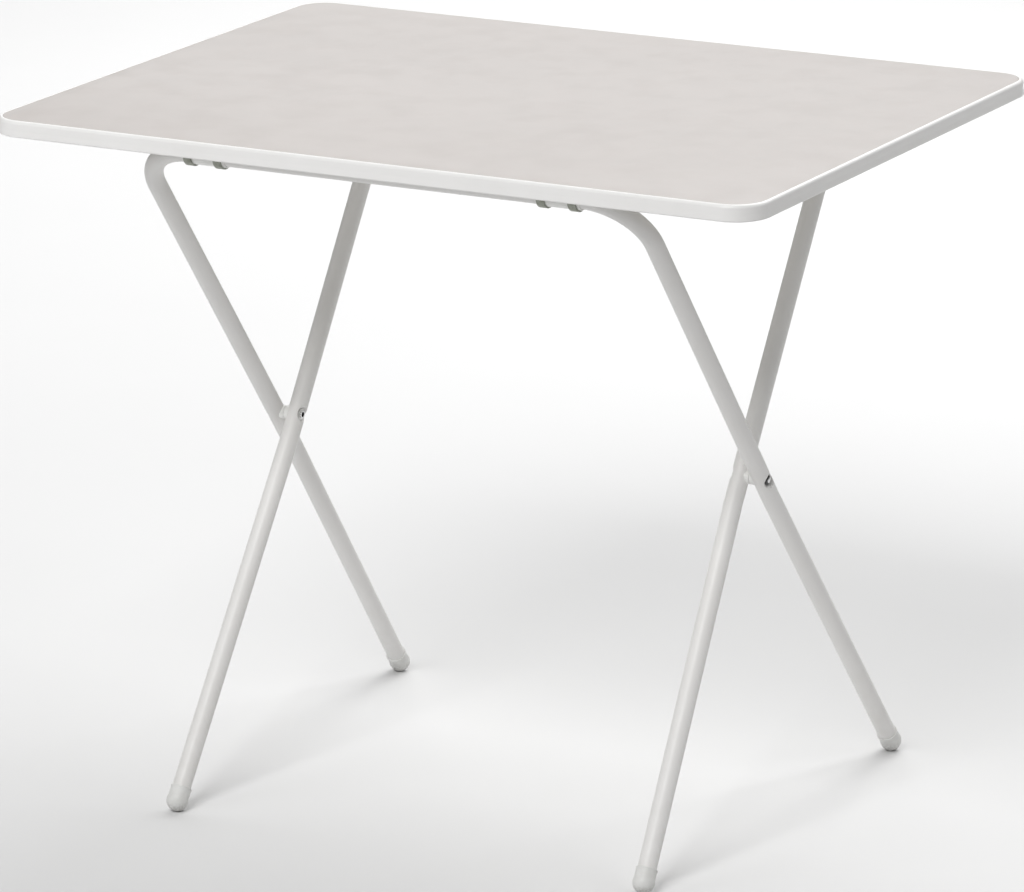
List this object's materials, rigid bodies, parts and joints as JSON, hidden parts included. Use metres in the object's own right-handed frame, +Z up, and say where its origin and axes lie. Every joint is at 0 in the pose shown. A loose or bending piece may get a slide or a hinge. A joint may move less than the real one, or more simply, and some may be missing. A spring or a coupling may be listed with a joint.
{
  "type": "folding tray table",
  "caption": "Folding tray table: a rounded laminated top on two crossed tube frames that scissor shut, with ball-ended foot caps.",
  "frame": {"origin": "on the floor under the middle of the top, midway between the legs", "axes": "+X to the right along the long side, +Y to the back, away from the front hinge tube, +Z up out of the top"},
  "size_m": [0.8, 0.6, 0.68],
  "materials": {
    "laminate": "fine satin texture, warm light grey",
    "backing": "dull balancing sheet",
    "board_core": "chipboard",
    "edge_plastic": "semi-gloss white moulding",
    "painted_tube": "white stoved paint, semi-gloss",
    "foot_plastic": "soft off-white plastic",
    "washer_plastic": "white nylon",
    "sleeve_plastic": "white plastic",
    "rest_plastic": "white plastic",
    "zinc_steel": "zinc plated pressing",
    "screw_steel": "zinc plated",
    "washer_steel": "bright zinc plated",
    "rivet_chrome": "bright nickel or chrome plate"
  },
  "bodies": {
    "outer_frame": {"outer_frame_tube": "painted_tube", "outer_foot_cap_left": "foot_plastic", "outer_foot_cap_right": "foot_plastic", "outer_saddle_washer_left": "washer_plastic", "outer_saddle_washer_right": "washer_plastic", "pivot_rivet_left": "rivet_chrome", "pivot_rivet_right": "rivet_chrome", "rivet_washer_left": "washer_steel", "rivet_washer_right": "washer_steel"},
    "inner_frame": {"inner_frame_tube": "painted_tube", "inner_foot_cap_left": "foot_plastic", "inner_foot_cap_right": "foot_plastic", "inner_saddle_washer_left": "washer_plastic", "inner_saddle_washer_right": "washer_plastic", "pivot_bush_left": "washer_plastic", "pivot_bush_right": "washer_plastic"},
    "tube_sleeves": {"tube_sleeve_left": "sleeve_plastic", "tube_sleeve_right": "sleeve_plastic"},
    "top": {"top_core": "board_core", "top_laminate": "laminate", "backing_sheet": "backing", "edge_moulding": "edge_plastic", "front_saddle_left": "zinc_steel", "front_saddle_right": "zinc_steel", "front_saddle_screws": "screw_steel", "rear_rest_left": "rest_plastic", "rear_rest_right": "rest_plastic", "rear_rest_screws": "screw_steel"}
  },
  "joints": [
    {"name": "legs_fold", "type": "hinge", "parent": "outer_frame", "child": "inner_frame", "pos_m": [0, -0.0097, 0.34209], "axis": [1, 0, 0], "range_deg": [0, 68]},
    {"name": "top_follow", "type": "hinge", "parent": "outer_frame", "child": "tube_sleeves", "pos_m": [0, -0.253, 0.6575], "axis": [1, 0, 0], "range_deg": [0, 34]},
    {"name": "top_tilt", "type": "hinge", "parent": "tube_sleeves", "child": "top", "pos_m": [0, -0.253, 0.6575], "axis": [1, 0, 0], "range_deg": [0, 85]}
  ],
  "couplings": [
    {"joint": "top_follow", "follows": "legs_fold", "ratio": 0.5}
  ]
}
